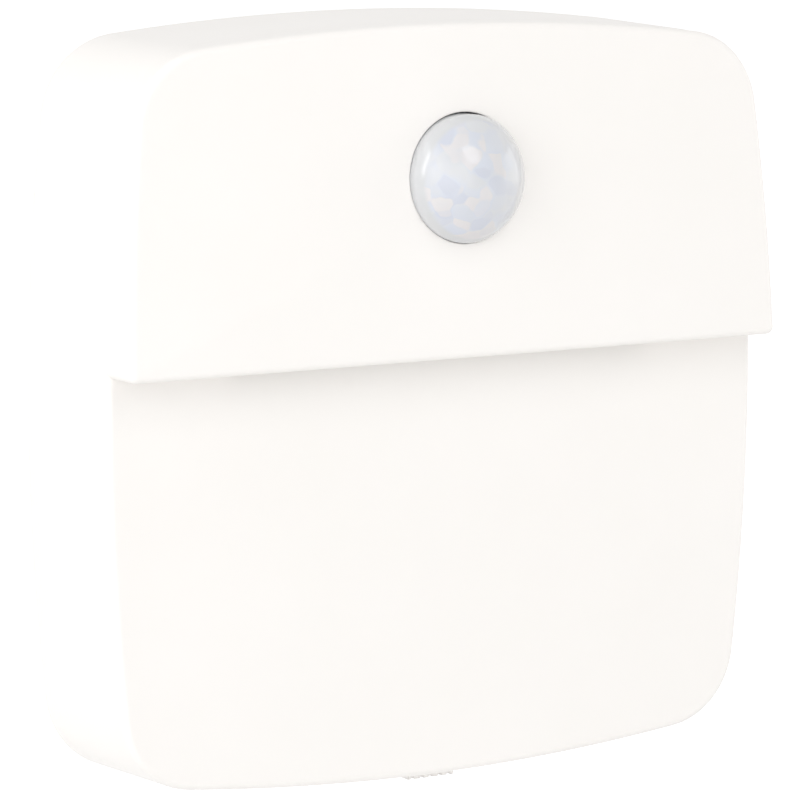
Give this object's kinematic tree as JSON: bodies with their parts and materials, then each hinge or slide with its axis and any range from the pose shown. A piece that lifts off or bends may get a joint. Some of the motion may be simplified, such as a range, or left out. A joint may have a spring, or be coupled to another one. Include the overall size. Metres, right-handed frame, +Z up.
{
  "type": "motion sensor light",
  "caption": "Square battery wall light with a domed motion sensor in a stepped hood, a light window under the lip, a slide switch below and a hook-on wall plate.",
  "frame": {"origin": "centre of the wall plate's back face, on the wall", "axes": "+X to the right seen from the front, +Z up the wall, front facing -Y, wall on the +Y side"},
  "size_m": [0.086, 0.0288, 0.0863],
  "materials": {
    "white_abs": "fine satin, warm white ABS",
    "milky_lens": "milky polyethylene with soft lens cells",
    "frosted_window": "frosted polycarbonate",
    "natural_nylon": "natural nylon",
    "nickel_can": "nickel-plated steel",
    "dark_filter": "dark infrared filter",
    "circuit_board": "green solder mask on glass laminate",
    "led": "white package with yellow phosphor",
    "black_plastic": "moulded black epoxy",
    "capacitor_can": "bare can",
    "chip_ceramic": "chip resistors with tinned ends",
    "zinc_screw": "zinc-plated steel",
    "nickel_contact": "nickel-plated spring steel",
    "spring_wire": "nickel-plated spring wire",
    "cell_jacket": "plain blue-grey cell sleeve over steel",
    "foam_tape": "white foam tape",
    "red_insulation": "red PVC",
    "black_insulation": "black PVC",
    "white_insulation": "white PVC"
  },
  "bodies": {
    "wall_plate": {"wall_plate": "white_abs", "adhesive_pads": "foam_tape"},
    "light": {"front_shell": "white_abs", "light_window": "frosted_window", "sensor_lens": "milky_lens", "lens_spacer": "natural_nylon", "pir_sensor": "nickel_can", "pir_filter": "dark_filter", "main_board": "circuit_board", "light_strip_board": "circuit_board", "leds": "led", "light_sensor": "black_plastic", "control_chip": "black_plastic", "capacitor": "capacitor_can", "transistors": "black_plastic", "chip_resistors": "chip_ceramic", "board_screws": "zinc_screw", "rear_cover": "white_abs", "case_screws": "zinc_screw", "contact_positive": "nickel_contact", "contact_negative": "nickel_contact", "contact_link_right": "nickel_contact", "contact_link_left": "nickel_contact", "battery_springs": "spring_wire", "cell_1": "cell_jacket", "cell_2": "cell_jacket", "cell_3": "cell_jacket", "switch_board": "circuit_board", "switch_housing": "nickel_can", "battery_lead_red": "red_insulation", "battery_lead_black": "black_insulation", "switch_leads": "white_insulation"},
    "door": {"battery_door": "white_abs"},
    "switch": {"switch_slider": "black_plastic", "switch_button": "white_abs"}
  },
  "joints": [
    {"name": "light_lift", "type": "slide", "parent": "wall_plate", "child": "light", "axis": [0, 0, 1], "range_m": [0, 0.0033]},
    {"name": "door_hinge", "type": "hinge", "parent": "light", "child": "door", "pos_m": [-0.02525, -0.0012, -0.0402], "axis": [0, 0, 1], "range_deg": [0, 100]},
    {"name": "switch_slide", "type": "slide", "parent": "light", "child": "switch", "axis": [1, 0, 0], "range_m": [-0.002, 0.002]}
  ]
}
